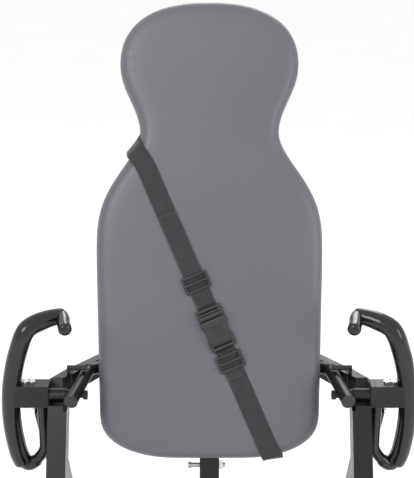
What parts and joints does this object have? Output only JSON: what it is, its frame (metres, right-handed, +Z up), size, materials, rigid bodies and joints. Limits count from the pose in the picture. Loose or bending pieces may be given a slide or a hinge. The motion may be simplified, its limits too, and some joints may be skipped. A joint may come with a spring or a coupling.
{
  "type": "inversion table",
  "caption": "Folding inversion table: a gourd-shaped pad on a pivoting bed between A-frame legs, with curved grips, a chest belt and an ankle holder.",
  "frame": {"origin": "on the floor, midway between the front and rear floor bars, under the bed's pivot", "axes": "+Z up, the front of the table faces -Y, +X to the right seen from the front"},
  "size_m": [0.778, 0.9874, 1.4639],
  "materials": {
    "black_paint": "satin",
    "grip_vinyl": "gloss",
    "chrome": "polished",
    "black_plastic": "satin",
    "stop_rubber": "matte",
    "bush_nylon": "satin",
    "pad_vinyl": "satin",
    "webbing": "matte",
    "board": "matte",
    "foam": "matte",
    "steel": "satin"
  },
  "bodies": {
    "frame": {"front_left_leg": "black_paint", "front_right_leg": "black_paint", "front_crossbar": "black_paint", "front_floor_caps": "black_plastic", "left_head": "black_paint", "right_head": "black_paint", "left_handle_bar": "black_paint", "right_handle_bar": "black_paint", "left_grip": "grip_vinyl", "right_grip": "grip_vinyl", "handle_bolts": "chrome", "handle_nuts": "chrome", "rest_stops": "stop_rubber", "left_hinge_ears": "black_paint", "right_hinge_ears": "black_paint", "hinge_bolts": "chrome", "stay_bolts": "chrome", "pivot_bushes": "bush_nylon"},
    "rear_frame": {"rear_left_leg": "black_paint", "rear_right_leg": "black_paint", "rear_crossbar": "black_paint", "rear_floor_caps": "black_plastic", "stay_end_bolts": "chrome"},
    "left_front_link": {"left_front_stay": "black_paint", "left_stay_rivet": "chrome"},
    "right_front_link": {"right_front_stay": "black_paint", "right_stay_rivet": "chrome"},
    "left_rear_link": {"left_rear_stay": "black_paint"},
    "right_rear_link": {"right_rear_stay": "black_paint"},
    "bed": {"crossbar_wings": "black_paint", "swing_tubes": "black_paint", "tube_plugs": "black_plastic", "axles": "black_paint", "axle_nuts": "black_paint", "spine": "black_paint", "spine_collar": "black_plastic", "backboard": "board", "pad": "pad_vinyl", "pad_screws": "chrome", "belt": "webbing", "buckle_body": "black_plastic", "buckle_tongue": "black_plastic", "strap_adjusters": "black_plastic", "height_guide": "chrome"},
    "height_pull": {"height_pin": "steel"},
    "boom_slider": {"boom": "black_paint", "boom_plug": "black_plastic", "heel_axle": "steel", "heel_rollers": "foam", "heel_caps": "black_plastic", "clamp_rail": "black_paint", "rail_plug": "black_plastic", "foot_plate": "black_paint", "foot_bolts": "chrome"},
    "ankle_clamp": {"clamp_carriage": "black_paint", "toe_axle": "steel", "toe_rollers": "foam", "toe_caps": "black_plastic"},
    "clamp_release": {"clamp_knob": "black_plastic"}
  },
  "joints": [
    {"name": "bed_tilt", "type": "hinge", "parent": "frame", "child": "bed", "pos_m": [0, 0, 0.79], "axis": [-1, 0, 0], "range_deg": [0, 150]},
    {"name": "rear_fold", "type": "hinge", "parent": "frame", "child": "rear_frame", "pos_m": [0, 0.064, 0.728], "axis": [-1, 0, 0], "range_deg": [0, 46]},
    {"name": "left_stay_lift", "type": "hinge", "parent": "frame", "child": "left_front_link", "pos_m": [0, -0.24495, 0.398], "axis": [1, 0, 0], "range_deg": [0, 55.17]},
    {"name": "left_stay_elbow", "type": "hinge", "parent": "left_front_link", "child": "left_rear_link", "pos_m": [0, 0.00655, 0.398], "axis": [-1, 0, 0], "range_deg": [0, 131.15]},
    {"name": "right_stay_lift", "type": "hinge", "parent": "frame", "child": "right_front_link", "pos_m": [0, -0.24495, 0.398], "axis": [1, 0, 0], "range_deg": [0, 55.17]},
    {"name": "right_stay_elbow", "type": "hinge", "parent": "right_front_link", "child": "right_rear_link", "pos_m": [0, 0.00655, 0.398], "axis": [-1, 0, 0], "range_deg": [0, 131.15]},
    {"name": "height_pin_pull", "type": "slide", "parent": "bed", "child": "height_pull", "axis": [-1, 0, 0], "range_m": [0, 0.06]},
    {"name": "boom_length", "type": "slide", "parent": "bed", "child": "boom_slider", "axis": [0, 0.3746, 0.9272], "range_m": [0, 0.15]},
    {"name": "ankle_slide", "type": "slide", "parent": "boom_slider", "child": "ankle_clamp", "axis": [0, -0.9272, 0.3746], "range_m": [0, 0.06]},
    {"name": "clamp_release_pull", "type": "slide", "parent": "ankle_clamp", "child": "clamp_release", "axis": [0, -0.3746, -0.9272], "range_m": [0, 0.007], "stiffness_N_per_m": 800, "springref_m": -0.004}
  ],
  "couplings": [
    {"joint": "left_stay_lift", "follows": "rear_fold", "ratio": 1.1885},
    {"joint": "left_stay_elbow", "follows": "rear_fold", "ratio": 2.8402},
    {"joint": "right_stay_lift", "follows": "rear_fold", "ratio": 1.1885},
    {"joint": "right_stay_elbow", "follows": "rear_fold", "ratio": 2.8402}
  ]
}
